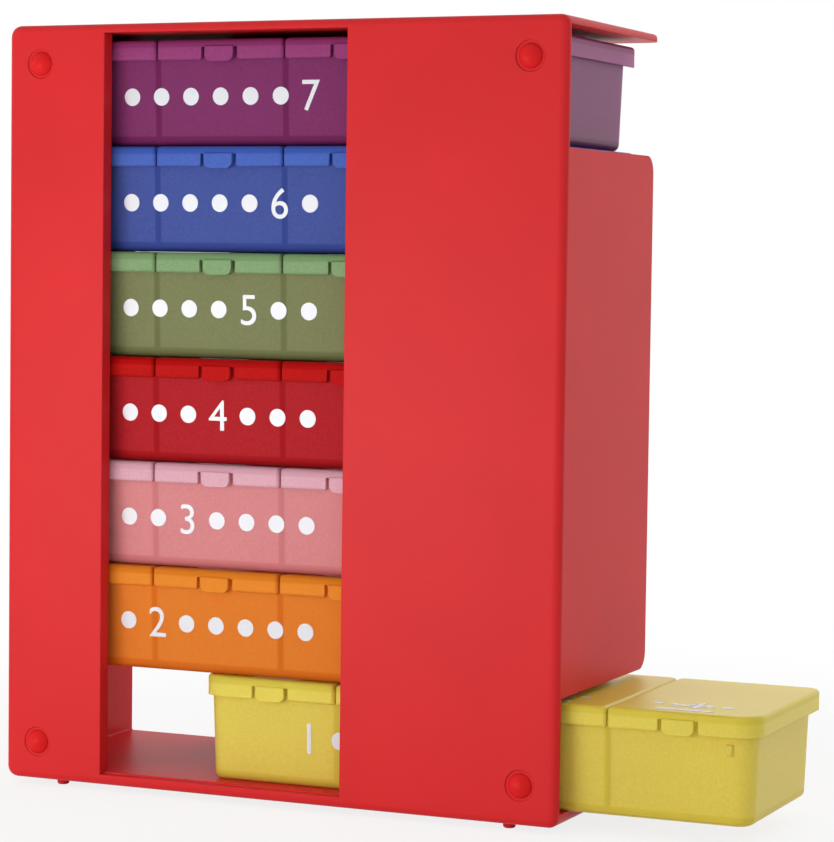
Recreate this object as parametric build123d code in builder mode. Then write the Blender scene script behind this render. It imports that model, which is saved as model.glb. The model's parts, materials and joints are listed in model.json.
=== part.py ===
"""Weekly pill drawer organizer: a red upright case that holds a stack of seven
day boxes, each with four hinged lids. All sizes are in millimetres.

Three sets of coordinates are used. A lid starts at the left edge of its quarter of
the box, and the first and last lids reach past that quarter by the end margin. A day
box starts at its left end, at the front of its lids' skirts and at its base. The case
starts at its left side, at its front face and at the underside of its floor. The
finished pieces are then moved so that the origin lies under the middle of the object.
"""
from build123d import *
import os
from math import radians, tan

# ---------------------------------------------------------------- day boxes
day_count = 7
lids_per_box = 4
box_length = 132.9            # over the lids, left to right
end_margin = 1.75             # how much longer the first and last lids are than the others
box_height = 24.05            # base of the tray to the top of the lids
stack_gap = 0.1               # running gap between two stacked boxes
pull_out = 46.8               # how far the lowest box stands out to the right

# ---------------------------------------------------------------- lids
lid_depth = 49.5
lid_gap = 0.3                 # between neighbouring lids
lid_plate = 1.4
lid_top_fillet = 0.9
rim_band = 1.7                # unbroken upper part of the skirt
skirt_height = 4.6            # from the top of the lid
skirt_thickness = 0.85
skirt_clearance = 0.15        # skirt to tray
end_front_radius = 5.5        # plan radius at the two ends of the box
end_back_radius = 3.0
seam_front_radius = 0.8       # plan radius where two lids meet
seam_back_radius = 1.8
tab_width = 7.2               # thumb tab in the middle of the skirt
tab_proud = 0.3               # how far it stands out in front of the skirt
tab_drop = 0.4                # how far it hangs below the skirt
tab_radius = 1.6
slot_width = 0.95             # on both sides of the tab
segment_radius = 0.7          # lower corners of the skirt's segments
lid_seat_gap = 0.1            # underside of the lid to the rim of the tray

# ---------------------------------------------------------------- lid hinge
hinge_drop = 3.2              # axis below the top of the lid
hinge_behind = 1.5            # axis behind the back wall of the tray
barrel_radius = 1.15
lug_radius = 1.35
lug_width = 2.0
lug_root = 0.6                # how deep a lug is rooted in the back wall
end_lug_overhang = 2.0        # part of an end lug that lies on the tray's rounded corner
pin_radius = 0.75
pin_clearance = 0.07          # stub pin to bore, on the radius
pin_length = 0.8              # inside the lug
barrel_side_clearance = 0.15
hinge_cover = 0.15            # lid behind the hinge lugs
web_thickness = 1.6           # joins the barrel to the lid

# ---------------------------------------------------------------- trays
tray_wall = 1.3
tray_floor = 1.3
tray_corner = 4.6
tray_base_fillet = 1.7
pocket_base_fillet = 1.0
tray_draft = 2.2              # degrees, every side leans in towards the base
divider = 1.2
nub_width = 1.4               # small vertical nub on the front, near the right end
nub_height = 2.5
nub_proud = 0.7
nub_from_end = 6.4
nub_below_skirt = 1.6
nub_root = 0.5
nub_fillet = 0.4

# ---------------------------------------------------------------- case
plate_thickness = 2.0         # front plate
wall_thickness = 2.1          # side walls
roof_thickness = 2.0
floor_thickness = 2.9
back_thickness = 2.0
left_clearance = 0.4          # left wall to the boxes at home
right_clearance = 1.1         # boxes at home to the right wall
roof_clearance = 1.65         # top box to the roof
front_clearance = 0.3         # window rim to the thumb tabs
back_clearance = 2.95         # lids to the back edge of the walls
roof_overhang = 4.0           # roof behind the walls
roof_corner = 3.5
left_corner = 2.6             # outer corners of the case, seen from the front
right_corner = 2.2
inner_corner = 0.5
front_fillet = 1.7
left_column = 25.4            # front plate beside the window
right_column = 51.9
sill_height = 2.5             # front plate below the window
lintel_height = 2.05          # front plate above the window
window_edge_fillet = 0.35
rim_depth = 1.6               # stiffening rim along both sides of the window
rim_width = 1.6
rim_end_gap = 0.1
lower_exit = 1.3              # right wall above the lowest box
upper_exit = 0.7              # right wall below the top box
right_wall_corner = 4.0
back_panel_inset = 3.3        # left edge of the back panel, right of the window's left side
back_panel_margin = 2.0       # right edge of the back panel, right of the window
back_panel_fillet = 0.8
foot_radius = 1.4
foot_height = 1.5
foot_fillet = 0.5
foot_side = 12.8              # foot centre from the side of the case
foot_front = 5.0              # foot centre from the front and from the back edge

# ---------------------------------------------------------------- dome pins
dome_radius = 2.8
dome_rise = 1.5               # above the front face
recess_radius = 3.4
recess_depth = 0.3
recess_edge_fillet = 0.2
shank_radius = 1.5
shank_clearance = 0.05
shank_chamfer = 0.2
pin_from_side = 8.6           # pin centre from the side of the case
pin_from_end = 8.85           # pin centre from the roof top or the floor's underside
tab_margin = 3.5              # corner tab around the shank

# ---------------------------------------------------------------- worked out
lid_width = (box_length - 2 * end_margin - (lids_per_box - 1) * lid_gap) / lids_per_box
lid_pitch = lid_width + lid_gap
tray_inset = skirt_thickness + skirt_clearance
tray_length = box_length - 2 * tray_inset
tray_depth = lid_depth - tray_inset - hinge_behind - lug_radius - hinge_cover
tray_height = box_height - lid_plate - lid_seat_gap
tray_lean = tray_height * tan(radians(tray_draft))
skirt_base = box_height - skirt_height
end_lug_start = tray_inset + tray_corner - end_lug_overhang
hinge_y = tray_inset + tray_depth + hinge_behind
hinge_z = box_height - hinge_drop
box_pitch = box_height + stack_gap

box_left = wall_thickness + left_clearance
box_front = plate_thickness + rim_depth + front_clearance + tab_proud
case_width = box_left + box_length + right_clearance + wall_thickness
wall_depth = box_front + lid_depth + back_clearance
roof_underside = floor_thickness + day_count * box_pitch - stack_gap + roof_clearance
case_height = roof_underside + roof_thickness
window_right = case_width - right_column
window_top = case_height - lintel_height

overall_length = max(case_width, box_left + box_length + pull_out)
overall_depth = dome_rise + wall_depth + roof_overhang
case_origin = (-overall_length / 2, dome_rise - overall_depth / 2, foot_height)

pin_centres = [(x, z)
               for x in (pin_from_side, case_width - pin_from_side)
               for z in (pin_from_end, case_height - pin_from_end)]


def base_of_box(day):
    """Height of the base of a day box in the case; day 1 is the lowest."""
    return floor_thickness + (day - 1) * box_pitch


def start_of_lid(number):
    """Left edge of a lid's quarter in the box; lid 1 is the leftmost."""
    return end_margin + (number - 1) * lid_pitch


def seam_after(number):
    """Middle of the gap between a lid and the next one, in the box."""
    return start_of_lid(number + 1) - lid_gap / 2


# ---------------------------------------------------------------- lids
def lid_shell(left_end, right_end):
    """Lid plate with its skirt; a skirt closes the side only at an end of the box."""
    left = -end_margin if left_end else 0.0
    right = lid_width + end_margin if right_end else lid_width
    radii = [end_front_radius if left_end else seam_front_radius,
             end_front_radius if right_end else seam_front_radius,
             end_back_radius if right_end else seam_back_radius,
             end_back_radius if left_end else seam_back_radius]
    hollow_left = left + skirt_thickness if left_end else left - lid_gap
    hollow_right = right - skirt_thickness if right_end else right + lid_gap
    hollow_back = lid_depth + lid_gap
    inner_radius = max(end_front_radius - skirt_thickness, lid_gap)

    with BuildPart() as shell:
        with BuildSketch(Plane.XY.offset(skirt_base)):
            with BuildLine():
                FilletPolyline((left, 0), (right, 0), (right, lid_depth), (left, lid_depth),
                               radius=radii, close=True)
            make_face()
        extrude(amount=skirt_height)
        fillet(shell.faces().sort_by(Axis.Z)[-1].edges(), lid_top_fillet)
        with BuildSketch(Plane.XY.offset(skirt_base)) as hollow:
            with Locations(((hollow_left + hollow_right) / 2, (skirt_thickness + hollow_back) / 2)):
                Rectangle(hollow_right - hollow_left, hollow_back - skirt_thickness)
            front_corners = hollow.vertices().group_by(Axis.Y)[0].sort_by(Axis.X)
            if left_end:
                fillet(front_corners[0], inner_radius)
            if right_end:
                fillet(front_corners[-1], inner_radius)
        extrude(amount=skirt_height - lid_plate, mode=Mode.SUBTRACT)
    return shell.part


def thumb_tab():
    """Finger tab in the gap that is left for it in the skirt."""
    tab_base = skirt_base - tab_drop
    tab_top = box_height - (rim_band + lid_plate) / 2
    with BuildPart() as tab:
        with BuildSketch(Plane.XZ.offset(tab_proud)) as profile:
            with Locations((lid_width / 2, (tab_base + tab_top) / 2)):
                Rectangle(tab_width, tab_top - tab_base)
            fillet(profile.vertices().group_by(Axis.Y)[0], tab_radius)
        extrude(amount=-(skirt_thickness + tab_proud))
    return tab.part


def hinge_barrel(left_end, right_end):
    """Barrel with a stub pin at each end and the web that hangs it under the lid."""
    at_seam = (lug_width - lid_gap) / 2 + barrel_side_clearance
    at_end = end_lug_start + lug_width + barrel_side_clearance - end_margin
    start = at_end if left_end else at_seam
    stop = lid_width - (at_end if right_end else at_seam)
    stub = barrel_side_clearance + pin_length
    web_top = box_height - lid_plate / 2
    with BuildPart() as barrel:
        with BuildSketch(Plane.YZ.offset(start)):
            with Locations((hinge_y, hinge_z)):
                Circle(barrel_radius)
            with Locations((hinge_y, (hinge_z + web_top) / 2)):
                Rectangle(web_thickness, web_top - hinge_z)
        extrude(amount=stop - start)
        with BuildSketch(Plane.YZ.offset(start - stub)):
            with Locations((hinge_y, hinge_z)):
                Circle(pin_radius)
        extrude(amount=stop - start + 2 * stub)
    return barrel.part


def build_lid(left_end, right_end):
    """One lid with its skirt, thumb tab and hinge barrel."""
    segment_height = skirt_height - rim_band
    with BuildPart() as lid:
        add(lid_shell(left_end, right_end))
        with Locations((lid_width / 2, skirt_thickness / 2, skirt_base + segment_height / 2)):
            Box(tab_width + 2 * slot_width, 2 * skirt_thickness, segment_height, mode=Mode.SUBTRACT)
        lower_corners = lid.edges().filter_by(Axis.Y).filter_by(
            lambda edge: edge.center().Z < skirt_base + 0.01 and edge.center().Y < skirt_thickness)
        fillet(lower_corners, segment_radius)
        add(thumb_tab())
        add(hinge_barrel(left_end, right_end))
    return lid.part


# ---------------------------------------------------------------- trays
def tray_shell():
    """Open tray with four compartments and leaning walls."""
    middle = (box_length / 2, tray_inset + tray_depth / 2)
    with BuildPart() as shell:
        with BuildSketch(Plane.XY.offset(tray_height)):
            with Locations(middle):
                RectangleRounded(tray_length, tray_depth, tray_corner)
        extrude(amount=-tray_height, taper=tray_draft)
        fillet(shell.faces().sort_by(Axis.Z)[0].edges(), tray_base_fillet)
        with BuildSketch(Plane.XY.offset(tray_height)):
            with Locations(middle):
                RectangleRounded(tray_length - 2 * tray_wall, tray_depth - 2 * tray_wall,
                                 tray_corner - tray_wall)
        extrude(amount=tray_floor - tray_height, taper=tray_draft, mode=Mode.SUBTRACT)
        pocket_floor = shell.faces().filter_by(Axis.Z).group_by(Axis.Z)[1]
        fillet(pocket_floor.edges(), pocket_base_fillet)
    return shell.part


def tray_dividers():
    """Three upright dividers, rooted half way in the leaning front and back walls."""
    reach = (tray_lean + tray_wall) / 2
    divider_depth = tray_depth - 2 * reach
    with BuildPart() as dividers:
        for number in range(1, lids_per_box):
            with Locations((seam_after(number), tray_inset + tray_depth / 2,
                            (tray_height + tray_floor / 2) / 2)):
                Box(divider, divider_depth, tray_height - tray_floor / 2)
    return dividers.part


def hinge_lugs():
    """Lugs behind the tray, one near each end and one behind each divider."""
    at_seams = [seam_after(number) - lug_width / 2 for number in range(1, lids_per_box)]
    starts = [end_lug_start] + at_seams + [box_length - end_lug_start - lug_width]
    corner_drop = tray_corner - (tray_corner ** 2 - end_lug_overhang ** 2) ** 0.5
    root = hinge_behind + lug_root + corner_drop
    with BuildPart() as lugs:
        for start in starts:
            with BuildSketch(Plane.YZ.offset(start)):
                with Locations((hinge_y, hinge_z)):
                    Circle(lug_radius)
                with Locations((hinge_y - root / 2, hinge_z)):
                    Rectangle(root, 2 * lug_radius)
                with Locations((hinge_y, hinge_z)):
                    Circle(pin_radius + pin_clearance, mode=Mode.SUBTRACT)
            extrude(amount=lug_width)
    return lugs.part


def front_nub():
    """Small rounded nub on the front of the tray, near its right end."""
    nub_z = skirt_base - nub_below_skirt - nub_height / 2
    front_there = tray_inset + (tray_height - nub_z) * tan(radians(tray_draft))
    with BuildPart() as nub:
        with Locations((box_length - nub_from_end, front_there + (nub_root - nub_proud) / 2, nub_z)):
            Box(nub_width, nub_proud + nub_root, nub_height)
        fillet(nub.faces().sort_by(Axis.Y)[0].edges(), nub_fillet)
    return nub.part


def build_tray():
    """Tray of one day box."""
    with BuildPart() as tray:
        add(tray_shell())
        add(tray_dividers())
        add(hinge_lugs())
        add(front_nub())
    return tray.part


# ---------------------------------------------------------------- case
def build_front_plate():
    """Front plate with its window, and the right wall that is moulded to it."""
    wall_base = base_of_box(1) + box_height + lower_exit
    wall_top = base_of_box(day_count) - upper_exit
    rim_height = roof_underside - floor_thickness - 2 * rim_end_gap
    rims = (left_column - rim_width / 2, window_right + rim_width / 2)
    flat_strip = min(sill_height, lintel_height) - front_fillet
    with BuildPart() as plate:
        with BuildSketch(Plane.XZ):
            with BuildLine():
                FilletPolyline((0, 0), (case_width, 0), (case_width, case_height), (0, case_height),
                               radius=[left_corner, right_corner, right_corner, left_corner], close=True)
            make_face()
        extrude(amount=-plate_thickness)
        with BuildSketch(Plane.YZ.offset(case_width - wall_thickness)) as side:
            with Locations((wall_depth / 2, (wall_base + wall_top) / 2)):
                Rectangle(wall_depth, wall_top - wall_base)
            fillet(side.vertices().group_by(Axis.X)[-1], right_wall_corner)
        extrude(amount=wall_thickness)
        fillet(plate.faces().sort_by(Axis.Y)[0].edges(), front_fillet)
        with BuildSketch(Plane.XZ):
            with Locations(((left_column + window_right) / 2, (sill_height + window_top) / 2)):
                Rectangle(window_right - left_column, window_top - sill_height)
        extrude(amount=-plate_thickness, mode=Mode.SUBTRACT)
        fillet(plate.faces().sort_by(Axis.Y)[0].inner_wires()[0].edges(),
               min(window_edge_fillet, flat_strip / 2))
        for rim in rims:
            with Locations((rim, plate_thickness + rim_depth / 2, (floor_thickness + roof_underside) / 2)):
                Box(rim_width, rim_depth, rim_height)
        with BuildSketch(Plane.XZ):
            with Locations(*pin_centres):
                Circle(recess_radius)
        extrude(amount=-recess_depth, mode=Mode.SUBTRACT)
        recess_rims = plate.edges().filter_by(GeomType.CIRCLE).filter_by(
            lambda edge: abs(edge.radius - recess_radius) < 0.01 and edge.center().Y < recess_depth / 2)
        fillet(recess_rims, recess_edge_fillet)
        with BuildSketch(Plane.XZ):
            with Locations(*pin_centres):
                Circle(shank_radius + shank_clearance)
        extrude(amount=-plate_thickness, mode=Mode.SUBTRACT)
    return plate.part


def case_shell():
    """Left wall, floor and roof in one bent section, open on the right."""
    with BuildPart() as shell:
        with BuildSketch(Plane.XZ.offset(-plate_thickness)):
            with BuildLine():
                FilletPolyline((0, 0), (case_width, 0), (case_width, case_height), (0, case_height),
                               radius=[left_corner, right_corner, right_corner, left_corner], close=True)
            make_face()
            with BuildLine(mode=Mode.PRIVATE) as inside:
                FilletPolyline((case_width + wall_thickness, floor_thickness),
                               (wall_thickness, floor_thickness), (wall_thickness, roof_underside),
                               (case_width + wall_thickness, roof_underside), radius=inner_corner)
                Line(inside.line @ 1, inside.line @ 0)
            make_face(inside.edges(), mode=Mode.SUBTRACT)
        extrude(amount=plate_thickness - wall_depth - roof_overhang)
        with Locations((case_width / 2, wall_depth + roof_overhang / 2, roof_underside / 2)):
            Box(case_width, roof_overhang, roof_underside, mode=Mode.SUBTRACT)
        with BuildSketch() as plan:
            with Locations((case_width / 2, (wall_depth + roof_overhang) / 2)):
                Rectangle(case_width, wall_depth + roof_overhang)
            fillet(plan.vertices().group_by(Axis.Y)[-1], roof_corner)
        extrude(amount=case_height, mode=Mode.INTERSECT)
    return shell.part


def build_case_frame():
    """Floor, left wall and roof with the back panel, the corner tabs and the feet."""
    panel_left = left_column + back_panel_inset
    panel_right = window_right + back_panel_margin
    with BuildPart() as frame:
        add(case_shell())
        with BuildSketch() as panel:
            with Locations(((panel_left + panel_right) / 2, wall_depth + back_thickness / 2)):
                Rectangle(panel_right - panel_left, back_thickness)
            fillet(panel.vertices().group_by(Axis.Y)[-1], back_panel_fillet)
        extrude(amount=roof_underside)
        for x, z in pin_centres:
            from_left = x < case_width / 2
            from_floor = z < case_height / 2
            side_edge = wall_thickness if from_left else case_width - wall_thickness
            end_edge = floor_thickness if from_floor else roof_underside
            inner_x = x + tab_margin if from_left else x - tab_margin
            inner_z = z + tab_margin if from_floor else z - tab_margin
            with Locations(((side_edge + inner_x) / 2, plate_thickness + rim_depth / 2,
                            (end_edge + inner_z) / 2)):
                Box(abs(inner_x - side_edge), rim_depth, abs(inner_z - end_edge))
        with BuildSketch(Plane.XZ.offset(-plate_thickness)):
            with Locations(*pin_centres):
                Circle(shank_radius + shank_clearance)
        extrude(amount=-rim_depth, mode=Mode.SUBTRACT)
        with BuildSketch():
            with Locations(*[(x, y) for x in (foot_side, case_width - foot_side)
                             for y in (foot_front, wall_depth - foot_front)]):
                Circle(foot_radius)
        extrude(amount=-foot_height)
        fillet(frame.faces().filter_by(Axis.Z).group_by(Axis.Z)[0].edges(), foot_fillet)
    return frame.part


def build_dome_pins():
    """Four pins with domed heads that hold the front plate to the corner tabs."""
    shank_end = plate_thickness + rim_depth
    with BuildPart() as pin:
        with BuildSketch():
            with BuildLine():
                cap = SagittaArc((0, -dome_rise), (dome_radius, recess_depth), dome_sagitta())
                Polyline(cap @ 1, (shank_radius, recess_depth), (shank_radius, shank_end - shank_chamfer),
                         (shank_radius - shank_chamfer, shank_end), (0, shank_end), cap @ 0)
            make_face()
        revolve(axis=Axis.Y)
    with BuildPart() as pins:
        with Locations(*[(x, 0, z) for x, z in pin_centres]):
            add(pin.part)
    return pins.part


def dome_sagitta():
    """Bulge of half the cap's outline, so that the whole cap is part of one sphere."""
    cap_height = dome_rise + recess_depth
    sphere = (dome_radius ** 2 + cap_height ** 2) / (2 * cap_height)
    half_chord = (dome_radius ** 2 + cap_height ** 2) ** 0.5 / 2
    return -(sphere - (sphere ** 2 - half_chord ** 2) ** 0.5)


# ---------------------------------------------------------------- assembly
def write_piece(piece, name, x=0.0, y=0.0, z=0.0):
    """Move a piece from its place in the case to the object's frame and write it."""
    with BuildPart() as placed:
        with Locations((case_origin[0] + x, case_origin[1] + y, case_origin[2] + z)):
            add(piece)
    placed.part.label = name
    export_step(placed.part, f"parts/{name}.step")


def main():
    os.makedirs("parts", exist_ok=True)
    write_piece(build_front_plate(), "front_plate")
    write_piece(build_case_frame(), "case_frame")
    write_piece(build_dome_pins(), "dome_pins")

    tray = build_tray()
    lids = [build_lid(lid == 1, lid == lids_per_box) for lid in range(1, lids_per_box + 1)]
    for day in range(1, day_count + 1):
        left = box_left + (pull_out if day == 1 else 0.0)
        base = base_of_box(day)
        write_piece(tray, f"box_{day}_tray", left, box_front, base)
        for number, lid in enumerate(lids, start=1):
            write_piece(lid, f"box_{day}_lid_{number}", left + start_of_lid(number), box_front, base)


main()
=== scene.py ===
"""Looks of the weekly pill drawer organizer: red moulded case, frosted day boxes, white prints and stage."""

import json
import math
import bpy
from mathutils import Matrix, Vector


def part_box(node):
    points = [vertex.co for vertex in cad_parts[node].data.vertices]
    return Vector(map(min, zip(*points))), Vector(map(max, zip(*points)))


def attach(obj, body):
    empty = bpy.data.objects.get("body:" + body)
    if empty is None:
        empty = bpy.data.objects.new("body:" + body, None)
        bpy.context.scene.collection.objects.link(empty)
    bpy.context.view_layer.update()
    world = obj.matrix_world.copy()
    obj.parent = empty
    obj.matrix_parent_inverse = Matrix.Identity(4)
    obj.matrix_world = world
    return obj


bl_info = {
    "name": "Weekly Pill Organizer Finishes",
    "version": (1, 0, 0),
    "blender": (4, 5, 0),
    "location": "View3D > Sidebar > Organizer",
    "description": "Finishes the case and the day boxes, prints the marks and sets the stage",
    "category": "Object",
}

import bpy
from bpy.props import FloatProperty, FloatVectorProperty, IntProperty, PointerProperty
from bpy.types import Operator, Panel, PropertyGroup
from mathutils import Matrix, Vector

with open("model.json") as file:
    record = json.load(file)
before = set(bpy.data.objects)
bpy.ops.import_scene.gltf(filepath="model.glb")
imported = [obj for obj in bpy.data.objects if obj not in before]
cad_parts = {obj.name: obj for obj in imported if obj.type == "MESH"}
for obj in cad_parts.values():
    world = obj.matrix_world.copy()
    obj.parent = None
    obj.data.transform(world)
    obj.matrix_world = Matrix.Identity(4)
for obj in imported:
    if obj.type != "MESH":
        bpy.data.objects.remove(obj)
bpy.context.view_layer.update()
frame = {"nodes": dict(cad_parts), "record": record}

MM = 0.001
BODIES = frame["record"]["behaviour"]["bodies"]
BODY_OF = {node: body for body, nodes in BODIES.items() for node in nodes}
DAYS = range(1, 8)
LIDS = range(1, 5)
LAMPS = ("window", "table", "fill", "backdrop")
INK_LIFT = 0.01 * MM  # keeps the back of the ink off the plastic


def linear(hex_colour):
    """Linear red, green and blue of an sRGB hex colour."""
    channels = [int(hex_colour[i:i + 2], 16) / 255 for i in (1, 3, 5)]
    return tuple(c / 12.92 if c <= 0.04045 else ((c + 0.055) / 1.055) ** 2.4 for c in channels)


def shades(colour, amount):
    """Deeper and paler shade of a colour, as far from it on either side, neither past full strength."""
    swings = [min(amount * c, 1 - c) for c in colour]
    deeper = [c - swing for c, swing in zip(colour, swings)]
    paler = [c + swing for c, swing in zip(colour, swings)]
    return (*deeper, 1), (*paler, 1)


def over_a_wall(colour, depth):
    """Painted shade: the colour where a wall stands behind the skin, more saturated and a little darker."""
    darkening = depth / 3
    return (*[c ** (1 + depth) * (1 - darkening) for c in colour], 1)


# ---------------------------------------------------------------- settings
def colour_setting(name, description, hex_colour):
    return FloatVectorProperty(name=name, description=description, subtype="COLOR", size=3,
                               min=0.0, max=1.0, default=linear(hex_colour))


def length_setting(name, description, millimetres):
    return FloatProperty(name=name, description=description, subtype="DISTANCE", unit="LENGTH",
                         default=millimetres * MM, precision=5)


def place_setting(name, description, metres):
    return FloatVectorProperty(name=name, description=description, subtype="TRANSLATION", size=3,
                               default=metres)


def angle_setting(name, description, degrees):
    return FloatProperty(name=name, description=description, subtype="ANGLE", default=math.radians(degrees))


def share_setting(name, description, share):
    return FloatProperty(name=name, description=description, subtype="FACTOR", default=share,
                         min=0.0, max=1.0)


def power_setting(name, description, watts):
    return FloatProperty(name=name, description=description, subtype="POWER", unit="POWER",
                         default=watts, min=0.0)


class CaseSettings(PropertyGroup):
    """Finish of the red case."""
    colour: colour_setting("Case colour", "Red of the moulded case", "#D62B2E")
    pin_colour: colour_setting("Pin colour", "Red of the four dome pins", "#DC2022")
    edge: length_setting("Edge", "Radius that takes the sharpness off every moulded edge", 0.35)
    grain: length_setting("Grain", "Width of the eroded mould's grain, drawn coarse enough to show", 0.55)
    grain_depth: length_setting("Grain depth", "Height of the grain", 0.012)
    smooth: share_setting("Smooth", "Roughness where the grain lies low", 0.32)
    rough: share_setting("Rough", "Roughness where the grain stands high", 0.46)
    reflection: share_setting("Reflection", "Level of the skin's reflection", 0.085)
    flow_width: length_setting("Flow width", "Width of the faint clouds in the moulding", 26.0)
    flow_depth: share_setting("Flow depth", "How much the clouds deepen and pale the colour", 0.07)


class BoxSettings(PropertyGroup):
    """Finish of the seven day boxes, from the lowest to the top one: each tray's colour is its tint with
    painted red light from the case mixed in, so trays look deeper than their lids.
    """
    # Each tray colour mixes the tray's own tint with painted red light from the case behind it.
    tray_1: colour_setting("Tray 1", "Lowest tray", "#FFEC6E")
    tray_2: colour_setting("Tray 2", "Second tray", "#FF963A")
    tray_3: colour_setting("Tray 3", "Third tray", "#F5A1A3")
    tray_4: colour_setting("Tray 4", "Fourth tray", "#CB2E35")
    tray_5: colour_setting("Tray 5", "Fifth tray", "#93986A")
    tray_6: colour_setting("Tray 6", "Sixth tray", "#5769B7")
    tray_7: colour_setting("Tray 7", "Top tray", "#97437C")
    lid_1: colour_setting("Lids 1", "Lids of the lowest tray", "#FFF070")
    lid_2: colour_setting("Lids 2", "Lids of the second tray", "#FFA23A")
    lid_3: colour_setting("Lids 3", "Lids of the third tray", "#F7C5D2")
    lid_4: colour_setting("Lids 4", "Lids of the fourth tray", "#D51F1D")
    lid_5: colour_setting("Lids 5", "Lids of the fifth tray", "#9DC08C")
    lid_6: colour_setting("Lids 6", "Lids of the sixth tray", "#5E7ED9")
    lid_7: colour_setting("Lids 7", "Lids of the top tray", "#B45494")
    edge: length_setting("Edge", "Radius that takes the sharpness off every moulded edge", 0.3)
    grain: length_setting("Grain", "Width of the frosted surface's grain, drawn coarse enough to show", 0.5)
    grain_depth: length_setting("Grain depth", "Height of the grain", 0.012)
    speckle: share_setting("Speckle", "How much the grain deepens and pales the colour", 0.25)
    roughness: share_setting("Roughness", "Roughness of the frosted skin", 0.4)
    reflection: share_setting("Reflection", "Level of the skin's reflection", 0.25)
    clearness: share_setting("Clearness", "Share of the light that passes into the plastic", 0.4)
    # The next three bands and their depth are painted shade: deeper colour where a wall stands behind the
    # translucent skin.
    divider: length_setting("Divider", "Width of the band that a divider draws on the tray's skin", 1.5)
    base: length_setting("Base", "Height of the band that the tray's floor draws on its skin", 2.2)
    lid_plate: length_setting("Lid plate", "Height of the band that a lid's plate draws on its skirt", 1.7)
    band_edge: length_setting("Band edge", "Softness of these bands' edges", 0.3)
    band_depth: share_setting("Band depth", "How much deeper the colour is in these bands", 0.22)


class PrintSettings(PropertyGroup):
    """Pad-printed marks on the boxes and on the lids."""
    ink: colour_setting("Ink", "White of the prints", "#E4E7EC")
    film: length_setting("Film", "Thickness of the ink", 0.05)
    speck: length_setting("Speck", "Width of the specks in the ink", 0.4)
    unevenness: share_setting("Unevenness", "How much the specks deepen the ink", 0.1)
    figure_height: length_setting("Figure height", "Height of the day's numeral", 6.9)
    marks: IntProperty(name="Marks", description="Marks in a row, one for each day", default=7, min=2)
    mark_pitch: length_setting("Mark pitch", "From one mark of the row to the next", 7.6)
    mark_radius: length_setting("Mark radius", "Radius of a round mark", 2.0)
    row_start: length_setting("Row start", "First mark from the left end of the lids", 27.2)
    row_height: length_setting("Row height", "Middle of the row above the tray's base", 11.2)
    setback: length_setting("Setback", "Rim of the tray behind the thumb tabs' faces", 1.3)
    lean: angle_setting("Lean", "Lean of the tray's front", 2.2)
    lid_figure: length_setting("Lid figure", "Height of a lid's numeral", 8.0)
    lid_setback: length_setting("Lid setback", "Middle of the lid's print from its front edge", 11.0)
    lid_marks: IntProperty(name="Lid marks", description="Places in a lid's row, its numeral in the middle",
                           default=5, min=1)
    lid_pitch: length_setting("Lid pitch", "From one mark on a lid to the next", 3.9)
    lid_mark: length_setting("Lid mark", "Radius of a round mark on a lid", 1.1)
    bar_length: length_setting("Bar length", "Length of the short bar under a lid's numeral", 13.0)
    bar_width: length_setting("Bar width", "Width of the short bar", 1.7)
    bar_gap: length_setting("Bar gap", "From the numeral's foot to the middle of the short bar", 2.38)


class StageSettings(PropertyGroup):
    """Camera, floor and lights."""
    yaw: angle_setting("Yaw", "Camera turned round the object", 23.72)
    pitch: angle_setting("Pitch", "Camera's look down", 3.31)
    roll: angle_setting("Roll", "Camera's roll", 0.74)
    place: place_setting("Place", "Camera from the case's lower left front corner",
                         (0.35932, -0.5797, 0.12399))
    focal: FloatProperty(name="Focal length", description="For a 36 mm long side", default=123.77)
    floor: colour_setting("Floor", "Pale floor", "#F4F4F4")
    floor_side: length_setting("Floor side", "Length of the floor's sides", 8000.0)
    glow_near: share_setting("Glow near", "Share of plain white in the floor under the object", 0.82)
    near: length_setting("Near", "How far from the object the floor starts to turn plain white", 130.0)
    far: length_setting("Far", "Where the floor is plain white", 300.0)
    room_light: FloatProperty(name="Room light", description="Strength of the even light from all sides",
                              default=0.6)
    lamp_aim: place_setting("Lamp aim", "Point in the case that the lamps are turned to", (0.0, 0.0, 0.08))
    window_place: place_setting("Window", "Large light high on the left", (-0.75, -1.2, 1.1))
    window_side: length_setting("Window side", "Length of its sides", 1100.0)
    window_power: power_setting("Window power", "Its power", 0.6)
    table_place: place_setting("Table", "Light thrown back by the pale table in front", (-0.15, -0.33, 0.03))
    table_side: length_setting("Table side", "Length of its sides", 200.0)
    table_power: power_setting("Table power", "Its power", 0.75)
    fill_place: place_setting("Fill", "Soft light from the right", (1.3, -0.7, 0.5))
    fill_side: length_setting("Fill side", "Length of its sides", 1200.0)
    fill_power: power_setting("Fill power", "Its power", 0.4)
    backdrop_place: place_setting("Backdrop", "Light that shines through the boxes from behind",
                                  (0.0, 1.1, 0.3))
    backdrop_side: length_setting("Backdrop side", "Length of its sides", 900.0)
    backdrop_power: power_setting("Backdrop power", "Its power", 9.0)


# ---------------------------------------------------------------- nodes, objects and meshes
def add_node(tree, kind, links=None, **settings):
    """Adds a node, sets its properties and unlinked inputs, and links inputs to the given outputs."""
    node = tree.nodes.new(kind)
    for name, value in settings.items():
        if hasattr(node, name):
            setattr(node, name, value)
    for name, value in settings.items():
        if not hasattr(node, name):
            node.inputs[name.replace("_", " ")].default_value = value
    for name, output in (links or {}).items():
        tree.links.new(output, node.inputs[name])
    return node


def new_material(name):
    """Empty node material and its tree."""
    material = bpy.data.materials.new(name)
    material.use_nodes = True
    material.node_tree.nodes.clear()
    return material, material.node_tree


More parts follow.
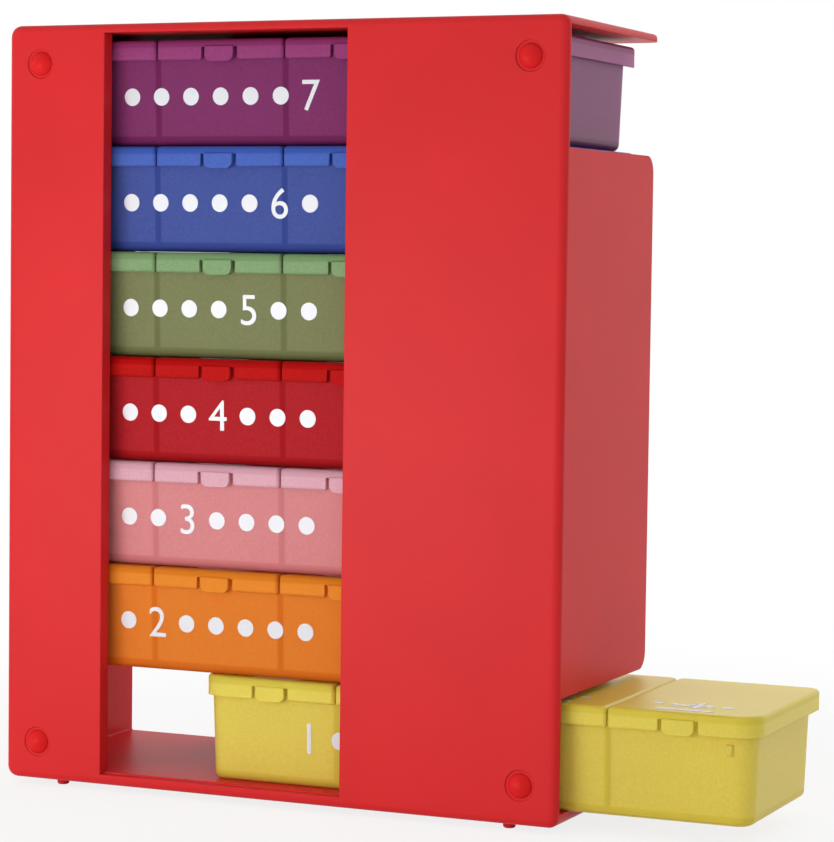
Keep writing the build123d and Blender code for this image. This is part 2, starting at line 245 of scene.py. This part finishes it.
def set_material(obj, material):
    """Gives every slot of an object one material."""
    if not obj.data.materials:
        obj.data.materials.append(material)
    for slot in obj.material_slots:
        slot.material = material


def new_object(name, data):
    """Object in the scene for a mesh, a curve, a light or a camera, at the origin."""
    obj = bpy.data.objects.new(name, data)
    bpy.context.scene.collection.objects.link(obj)
    return obj


def baked_mesh(obj, name):
    """Plain mesh of an object with its modifiers applied."""
    bpy.context.view_layer.update()
    depsgraph = bpy.context.evaluated_depsgraph_get()
    mesh = bpy.data.meshes.new_from_object(obj.evaluated_get(depsgraph))
    mesh.name = name
    return mesh


def joined_mesh(name, meshes):
    """One mesh out of several."""
    vertices, faces = [], []
    for mesh in meshes:
        start = len(vertices)
        vertices.extend(v.co.copy() for v in mesh.vertices)
        faces.extend([start + i for i in f.vertices] for f in mesh.polygons)
    joined = bpy.data.meshes.new(name)
    joined.from_pydata(vertices, [], faces)
    joined.update()
    return joined


# ---------------------------------------------------------------- materials
def grain_height(tree, place, grain):
    """Height pattern of an eroded mould, with the given width of grain."""
    noise = add_node(tree, "ShaderNodeTexNoise", {"Vector": place.outputs["Object"]},
                     noise_dimensions="3D", Scale=1 / grain, Detail=2.0, Roughness=0.6)
    return noise.outputs["Fac"]


def grained_normal(tree, height, s):
    """Normal of a moulded skin: its edges rounded off and its grain raised."""
    rounded = add_node(tree, "ShaderNodeBevel", samples=4, Radius=s.edge)
    bump = add_node(tree, "ShaderNodeBump", {"Height": height, "Normal": rounded.outputs["Normal"]},
                    Strength=0.5, Distance=s.grain_depth)
    return bump.outputs["Normal"]


def moulded_abs(name, colour, s):
    """ABS from an eroded mould: a satin skin whose highlights are broad and softly broken."""
    material, tree = new_material(name)
    place = add_node(tree, "ShaderNodeTexCoord")
    clouds = add_node(tree, "ShaderNodeTexNoise", {"Vector": place.outputs["Object"]},
                      Scale=1 / s.flow_width, Detail=1.0)
    deeper, paler = shades(colour, s.flow_depth)
    tint = add_node(tree, "ShaderNodeMix", {"Factor": clouds.outputs["Fac"]}, data_type="RGBA",
                    A=deeper, B=paler)
    height = grain_height(tree, place, s.grain)
    gloss = add_node(tree, "ShaderNodeMapRange", {"Value": height}, To_Min=s.smooth, To_Max=s.rough)
    skin = add_node(tree, "ShaderNodeBsdfPrincipled",
                    {"Base Color": tint.outputs["Result"], "Roughness": gloss.outputs["Result"],
                     "Normal": grained_normal(tree, height, s)},
                    IOR=1.53, Specular_IOR_Level=s.reflection)
    add_node(tree, "ShaderNodeOutputMaterial", {"Surface": skin.outputs["BSDF"]})
    return material


def inside_bands(tree, place, bands, soft):
    """Mask of painted shade: 1 where a wall stands behind the skin, 0 over an empty compartment.

    A band is its axis, its middle and half its width.
    """
    axes = add_node(tree, "ShaderNodeSeparateXYZ", {"Vector": place.outputs["Object"]})
    share = None
    for axis, middle, half in bands:
        offset = add_node(tree, "ShaderNodeMath", {0: axes.outputs[axis]}, operation="SUBTRACT")
        offset.inputs[1].default_value = middle
        distance = add_node(tree, "ShaderNodeMath", {0: offset.outputs[0]}, operation="ABSOLUTE")
        band = add_node(tree, "ShaderNodeMapRange", {"Value": distance.outputs[0]},
                        From_Min=half - soft, From_Max=half + soft, To_Min=1.0, To_Max=0.0,
                        interpolation_type="SMOOTHSTEP")
        if share is None:
            share = band.outputs["Result"]
        else:
            either = add_node(tree, "ShaderNodeMath", {0: share, 1: band.outputs["Result"]},
                              operation="MAXIMUM")
            share = either.outputs[0]
    return share


def frosted_polypropylene(name, colour, bands, s):
    """Clear polypropylene tinted in the mass, with a frosted skin.

    Light passes, edges stay soft, and painted shade makes the colour deeper where a wall stands behind the
    skin.
    """
    material, tree = new_material(name)
    place = add_node(tree, "ShaderNodeTexCoord")
    height = grain_height(tree, place, s.grain)
    deeper, paler = shades(colour, s.speckle)
    tint = add_node(tree, "ShaderNodeMix", {"Factor": height}, data_type="RGBA", A=deeper, B=paler)
    # Painted shade: bands of deeper colour where a divider, the tray's floor or a lid's plate stands behind
    # the skin.
    behind = inside_bands(tree, place, bands, s.band_edge)
    with_painted_shade = add_node(tree, "ShaderNodeMix", {"Factor": behind, "A": tint.outputs["Result"]},
                      data_type="RGBA", B=over_a_wall(colour, s.band_depth))
    skin = add_node(tree, "ShaderNodeBsdfPrincipled",
                    {"Base Color": with_painted_shade.outputs["Result"], "Normal": grained_normal(tree, height, s)},
                    IOR=1.49, Roughness=s.roughness, Transmission_Weight=s.clearness,
                    Specular_IOR_Level=s.reflection, Specular_Tint=(*colour, 1))
    add_node(tree, "ShaderNodeOutputMaterial", {"Surface": skin.outputs["BSDF"]})
    return material


def pad_print_ink(name, s):
    """White ink with a slight gloss, a little uneven as a pad lays it down."""
    material, tree = new_material(name)
    place = add_node(tree, "ShaderNodeTexCoord")
    specks = add_node(tree, "ShaderNodeTexNoise", {"Vector": place.outputs["Object"]},
                      Scale=1 / s.speck, Detail=1.0)
    thin = [(1 - s.unevenness) * c for c in s.ink]
    tint = add_node(tree, "ShaderNodeMix", {"Factor": specks.outputs["Fac"]}, data_type="RGBA",
                    A=(*thin, 1), B=(*s.ink, 1))
    skin = add_node(tree, "ShaderNodeBsdfPrincipled", {"Base Color": tint.outputs["Result"]},
                    Roughness=0.25)
    add_node(tree, "ShaderNodeOutputMaterial", {"Surface": skin.outputs["BSDF"]})
    return material


def where_background_shows(tree):
    """1 for a ray that shows the background: from the camera, off a gloss or through a clear piece."""
    path = add_node(tree, "ShaderNodeLightPath")
    seen = add_node(tree, "ShaderNodeMath",
                    {0: path.outputs["Is Camera Ray"], 1: path.outputs["Is Glossy Ray"]},
                    operation="MAXIMUM")
    shown = add_node(tree, "ShaderNodeMath",
                     {0: seen.outputs[0], 1: path.outputs["Is Transmission Ray"]}, operation="MAXIMUM")
    return shown.outputs[0]


def white_where_seen(name, s):
    """Pale floor that reads as white to the camera, keeps part of the shadow and ends in plain white."""
    material, tree = new_material(name)
    shown = where_background_shows(tree)
    place = add_node(tree, "ShaderNodeTexCoord")
    distance = add_node(tree, "ShaderNodeVectorMath", {0: place.outputs["Object"]}, operation="LENGTH")
    share = add_node(tree, "ShaderNodeMapRange", {"Value": distance.outputs["Value"]},
                     From_Min=s.near, From_Max=s.far, To_Min=s.glow_near, To_Max=1.0,
                     interpolation_type="SMOOTHSTEP")
    part = add_node(tree, "ShaderNodeMath", {0: shown, 1: share.outputs["Result"]},
                    operation="MULTIPLY")
    matt = add_node(tree, "ShaderNodeBsdfDiffuse", Color=(*s.floor, 1))
    glow = add_node(tree, "ShaderNodeEmission", Strength=1.0)
    mix = add_node(tree, "ShaderNodeMixShader", {0: part.outputs[0], 1: matt.outputs[0], 2: glow.outputs[0]})
    add_node(tree, "ShaderNodeOutputMaterial", {"Surface": mix.outputs[0]})
    return material


# ---------------------------------------------------------------- marks
def mark_row_tree():
    """Row of round marks with one place left free for a numeral."""
    tree = bpy.data.node_groups.new("Mark row", "GeometryNodeTree")
    face = tree.interface
    face.new_socket("Geometry", in_out="INPUT", socket_type="NodeSocketGeometry")
    for name, kind in (("Marks", "NodeSocketInt"), ("Free place", "NodeSocketInt"),
                       ("Pitch", "NodeSocketFloat"), ("Mark radius", "NodeSocketFloat"),
                       ("Film", "NodeSocketFloat"), ("Ink", "NodeSocketMaterial")):
        face.new_socket(name, in_out="INPUT", socket_type=kind)
    face.new_socket("Geometry", in_out="OUTPUT", socket_type="NodeSocketGeometry")
    given = add_node(tree, "NodeGroupInput").outputs
    step = add_node(tree, "ShaderNodeCombineXYZ", {"X": given["Pitch"]})
    row = add_node(tree, "GeometryNodeMeshLine", {"Count": given["Marks"], "Offset": step.outputs[0]},
                   mode="OFFSET")
    index = add_node(tree, "GeometryNodeInputIndex")
    # Inputs 2 and 3 of the comparison are its two whole numbers.
    same = add_node(tree, "FunctionNodeCompare", {2: index.outputs[0], 3: given["Free place"]},
                    data_type="INT", operation="EQUAL")
    kept = add_node(tree, "GeometryNodeDeleteGeometry",
                    {"Geometry": row.outputs["Mesh"], "Selection": same.outputs[0]})
    disc = add_node(tree, "GeometryNodeMeshCylinder",
                    {"Radius": given["Mark radius"], "Depth": given["Film"]}, Vertices=40)
    placed = add_node(tree, "GeometryNodeInstanceOnPoints",
                      {"Points": kept.outputs["Geometry"], "Instance": disc.outputs["Mesh"]})
    real = add_node(tree, "GeometryNodeRealizeInstances", {"Geometry": placed.outputs["Instances"]})
    inked = add_node(tree, "GeometryNodeSetMaterial",
                     {"Geometry": real.outputs["Geometry"], "Material": given["Ink"]})
    add_node(tree, "NodeGroupOutput", {"Geometry": inked.outputs["Geometry"]})
    return tree


def run_tree(tree, name, values):
    """Plain mesh that a Geometry Nodes tree makes from the given inputs."""
    carrier = new_object(name, bpy.data.meshes.new(name))
    modifier = carrier.modifiers.new(name, "NODES")
    modifier.node_group = tree
    for item in tree.interface.items_tree:
        if item.in_out == "INPUT" and item.name in values:
            modifier[item.identifier] = values[item.name]
    mesh = baked_mesh(carrier, name)
    bpy.data.objects.remove(carrier)
    return mesh


def numeral_mesh(number, height, film):
    """Plain numeral lying flat, its middle at the origin, with the given height and thickness."""
    curve = bpy.data.curves.new(f"numeral_{number}", "FONT")
    curve.body = str(number)
    curve.extrude = film / 2
    curve.resolution_u = 8
    carrier = new_object("numeral", curve)
    mesh = baked_mesh(carrier, f"numeral_{number}")
    bpy.data.objects.remove(carrier)
    low = Vector([min(v.co[i] for v in mesh.vertices) for i in range(3)])
    high = Vector([max(v.co[i] for v in mesh.vertices) for i in range(3)])
    scale = height / (high.y - low.y)
    middle = (low + high) / 2
    mesh.transform(Matrix.Diagonal((scale, scale, 1, 1)) @ Matrix.Translation(-middle))
    return mesh


def bar_mesh(length, width, film):
    """Short bar with round ends, lying flat with its middle at the origin."""
    radius = width / 2
    straight = (length - width) / 2
    steps = 10
    outline = []
    for side in (1, -1):
        for i in range(steps + 1):
            turn = math.pi * (i / steps - 0.5) + (0 if side > 0 else math.pi)
            outline.append((side * straight + radius * math.cos(turn), radius * math.sin(turn)))
    count = len(outline)
    vertices = [(x, y, z) for z in (-film / 2, film / 2) for x, y in outline]
    faces = [tuple(reversed(range(count))), tuple(range(count, 2 * count))]
    faces += [(i, (i + 1) % count, count + (i + 1) % count, count + i) for i in range(count)]
    mesh = bpy.data.meshes.new("bar")
    mesh.from_pydata(vertices, [], faces)
    return mesh


# ---------------------------------------------------------------- operators
class ORGANIZER_OT_case(Operator):
    """Finish the red case and its dome pins"""
    bl_idname = "organizer.case"
    bl_label = "Case"

    def execute(self, context):
        s = context.scene.organizer_case
        red = moulded_abs("moulded_abs_red", s.colour, s)
        pin_red = moulded_abs("moulded_abs_pin_red", s.pin_colour, s)
        for name in ("front_plate", "case_frame"):
            set_material(frame["nodes"][name], red)
        set_material(frame["nodes"]["dome_pins"], pin_red)
        return {"FINISHED"}


class ORGANIZER_OT_boxes(Operator):
    """Finish the trays and the lids of the seven day boxes"""
    bl_idname = "organizer.boxes"
    bl_label = "Day boxes"

    def execute(self, context):
        s = context.scene.organizer_boxes
        for day in DAYS:
            low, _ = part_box(f"box_{day}_tray")
            _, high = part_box(f"box_{day}_lid_1")
            # Painted shade bands over the dividers, the tray's floor and the lids' plate.
            divider_shades = [("X", self.seam_after(day, lid), s.divider / 2) for lid in LIDS[:-1]]
            base = ("Z", low.z, s.base)
            # The tray's colour carries painted red light from the case behind it.
            tray = frosted_polypropylene(f"frosted_polypropylene_tray_{day}", getattr(s, f"tray_{day}"),
                                         [*divider_shades, base], s)
            lids = frosted_polypropylene(f"frosted_polypropylene_lid_{day}", getattr(s, f"lid_{day}"),
                                         [("Z", high.z, s.lid_plate)], s)
            set_material(frame["nodes"][f"box_{day}_tray"], tray)
            for lid in LIDS:
                set_material(frame["nodes"][f"box_{day}_lid_{lid}"], lids)
        return {"FINISHED"}

    def seam_after(self, day, lid):
        """Middle of the seam between a lid and the next one, where a divider stands under the lids."""
        _, left_lid_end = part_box(f"box_{day}_lid_{lid}")
        right_lid_start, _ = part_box(f"box_{day}_lid_{lid + 1}")
        return (left_lid_end.x + right_lid_start.x) / 2


class ORGANIZER_OT_box_prints(Operator):
    """Print a row of marks with the day's numeral on the front of every tray"""
    bl_idname = "organizer.box_prints"
    bl_label = "Box prints"

    def execute(self, context):
        s = context.scene.organizer_prints
        ink = pad_print_ink("pad_print_white", s)
        tree = mark_row_tree()
        for day in DAYS:
            tray = f"box_{day}_tray"
            row = run_tree(tree, f"marks_{day}", {
                "Marks": s.marks, "Free place": day - 1, "Pitch": s.mark_pitch,
                "Mark radius": s.mark_radius, "Film": s.film, "Ink": ink})
            numeral = numeral_mesh(day, s.figure_height, s.film)
            numeral.transform(Matrix.Translation(((day - 1) * s.mark_pitch, 0, 0)))
            mesh = joined_mesh(f"box_{day}_print", [row, numeral])
            mesh.transform(self.front_of(day, s))
            piece = new_object(f"box_{day}_print", mesh)
            set_material(piece, ink)
            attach(piece, BODY_OF[tray])
        return {"FINISHED"}

    def front_of(self, day, s):
        """Places a flat print on the leaning front of a tray."""
        low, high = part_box(f"box_{day}_tray")
        lid_low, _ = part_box(f"box_{day}_lid_1")
        up = Vector((0, -math.sin(s.lean), math.cos(s.lean)))
        out = Vector((0, -math.cos(s.lean), -math.sin(s.lean)))
        rim_front = lid_low.y + s.setback
        below_rim = high.z - low.z - s.row_height
        middle = Vector((lid_low.x + s.row_start, rim_front + below_rim * math.tan(s.lean),
                         low.z + s.row_height))
        middle += out * (s.film / 2 + INK_LIFT)
        place = Matrix((Vector((1, 0, 0)), up, out)).transposed().to_4x4()
        return Matrix.Translation(middle) @ place


class ORGANIZER_OT_lid_prints(Operator):
    """Print a plain numeral in a row of marks, with a short bar below it, on every lid"""
    bl_idname = "organizer.lid_prints"
    bl_label = "Lid prints"

    def execute(self, context):
        s = context.scene.organizer_prints
        ink = bpy.data.materials["pad_print_white"]
        tree = bpy.data.node_groups["Mark row"]
        inner_low, inner_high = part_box("box_1_lid_2")
        half_width = (inner_high.x - inner_low.x) / 2
        middle_mark = s.lid_marks // 2
        for day in DAYS:
            for lid in LIDS:
                node = f"box_{day}_lid_{lid}"
                low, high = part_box(node)
                numeral = numeral_mesh(lid, s.lid_figure, s.film)
                row = run_tree(tree, f"lid_marks_{day}_{lid}", {
                    "Marks": s.lid_marks, "Free place": middle_mark, "Pitch": s.lid_pitch,
                    "Mark radius": s.lid_mark, "Film": s.film, "Ink": ink})
                row.transform(Matrix.Translation((-middle_mark * s.lid_pitch, 0, 0)))
                bar = bar_mesh(s.bar_length, s.bar_width, s.film)
                bar.transform(Matrix.Translation((0, -s.lid_figure / 2 - s.bar_gap, 0)))
                mesh = joined_mesh(f"{node}_print", [row, numeral, bar])
                # The two end lids are longer than the inner ones, so a print is placed from the inner side.
                middle = high.x - half_width if lid == LIDS[0] else low.x + half_width
                top = high.z + s.film / 2 + INK_LIFT
                mesh.transform(Matrix.Translation((middle, low.y + s.lid_setback, top)))
                piece = new_object(f"{node}_print", mesh)
                set_material(piece, ink)
                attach(piece, BODY_OF[node])
        return {"FINISHED"}


class ORGANIZER_OT_stage(Operator):
    """Set the pale floor, the soft lights and the camera"""
    bl_idname = "organizer.stage"
    bl_label = "Stage"

    def execute(self, context):
        s = context.scene.organizer_stage
        context.scene.view_settings.view_transform = "Standard"
        self.floor(s)
        self.world(context.scene, s)
        for name in LAMPS:
            self.lamp(name, s)
        self.camera(context.scene, s)
        return {"FINISHED"}

    def floor(self, s):
        """Square floor under the object."""
        half = s.floor_side / 2
        corners = [(-half, -half, 0), (half, -half, 0), (half, half, 0), (-half, half, 0)]
        mesh = bpy.data.meshes.new("floor")
        mesh.from_pydata(corners, [], [(0, 1, 2, 3)])
        floor = new_object("floor", mesh)
        set_material(floor, white_where_seen("pale_floor", s))

    def world(self, scene, s):
        """Even light from all sides, and plain white where the background itself shows."""
        world = bpy.data.worlds.new("studio")
        scene.world = world
        world.use_nodes = True
        tree = world.node_tree
        tree.nodes.clear()
        level = add_node(tree, "ShaderNodeMapRange", {"Value": where_background_shows(tree)},
                         To_Min=s.room_light, To_Max=1.0)
        sky = add_node(tree, "ShaderNodeBackground", {"Strength": level.outputs["Result"]},
                       Color=(1, 1, 1, 1))
        add_node(tree, "ShaderNodeOutputWorld", {"Surface": sky.outputs["Background"]})

    def lamp(self, name, s):
        """Square lamp turned to the case and itself unseen; the one behind isn't mirrored in the boxes."""
        place = Vector(getattr(s, f"{name}_place"))
        light = bpy.data.lights.new(f"{name}_light", "AREA")
        light.shape = "SQUARE"
        light.size = getattr(s, f"{name}_side")
        light.energy = getattr(s, f"{name}_power")
        lamp = new_object(f"{name}_light", light)
        lamp.location = place
        lamp.rotation_euler = (Vector(s.lamp_aim) - place).to_track_quat("-Z", "Y").to_euler()
        lamp.visible_camera = False
        lamp.visible_glossy = name != "backdrop"

    def camera(self, scene, s):
        """Camera of the photograph, placed from the case's lower left front corner."""
        low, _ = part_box("front_plate")
        forward = Vector((-math.sin(s.yaw) * math.cos(s.pitch), math.cos(s.yaw) * math.cos(s.pitch),
                          -math.sin(s.pitch)))
        level = Vector((math.cos(s.yaw), math.sin(s.yaw), 0))
        over = level.cross(forward)
        right = math.cos(s.roll) * level + math.sin(s.roll) * over
        up = math.cos(s.roll) * over - math.sin(s.roll) * level
        data = bpy.data.cameras.new("camera")
        data.lens = s.focal
        data.sensor_width = 36.0
        camera = new_object("camera", data)
        turn = Matrix((right, up, -forward)).transposed().to_4x4()
        camera.matrix_world = Matrix.Translation(low + Vector(s.place)) @ turn
        scene.camera = camera


class ORGANIZER_PT_finishes(Panel):
    """Finishes of the organizer in the sidebar."""
    bl_label = "Organizer"
    bl_space_type = "VIEW_3D"
    bl_region_type = "UI"
    bl_category = "Organizer"

    def draw(self, context):
        for step in STEPS:
            self.layout.operator(step.bl_idname)
        for group in SETTINGS:
            owner = getattr(context.scene, group)
            for name in owner.__annotations__:
                self.layout.prop(owner, name)


# ---------------------------------------------------------------- run
SETTINGS = {"organizer_case": CaseSettings, "organizer_boxes": BoxSettings,
            "organizer_prints": PrintSettings, "organizer_stage": StageSettings}
STEPS = (ORGANIZER_OT_case, ORGANIZER_OT_boxes, ORGANIZER_OT_box_prints, ORGANIZER_OT_lid_prints,
         ORGANIZER_OT_stage)
CLASSES = (*SETTINGS.values(), *STEPS, ORGANIZER_PT_finishes)


def register():
    for cls in CLASSES:
        bpy.utils.register_class(cls)
    for name, group in SETTINGS.items():
        setattr(bpy.types.Scene, name, PointerProperty(type=group))


def unregister():
    for name in SETTINGS:
        delattr(bpy.types.Scene, name)
    for cls in reversed(CLASSES):
        bpy.utils.unregister_class(cls)


def main():
    register()
    bpy.ops.organizer.case()
    bpy.ops.organizer.boxes()
    bpy.ops.organizer.box_prints()
    bpy.ops.organizer.lid_prints()
    bpy.ops.organizer.stage()


if __name__ == "__main__":
    main()
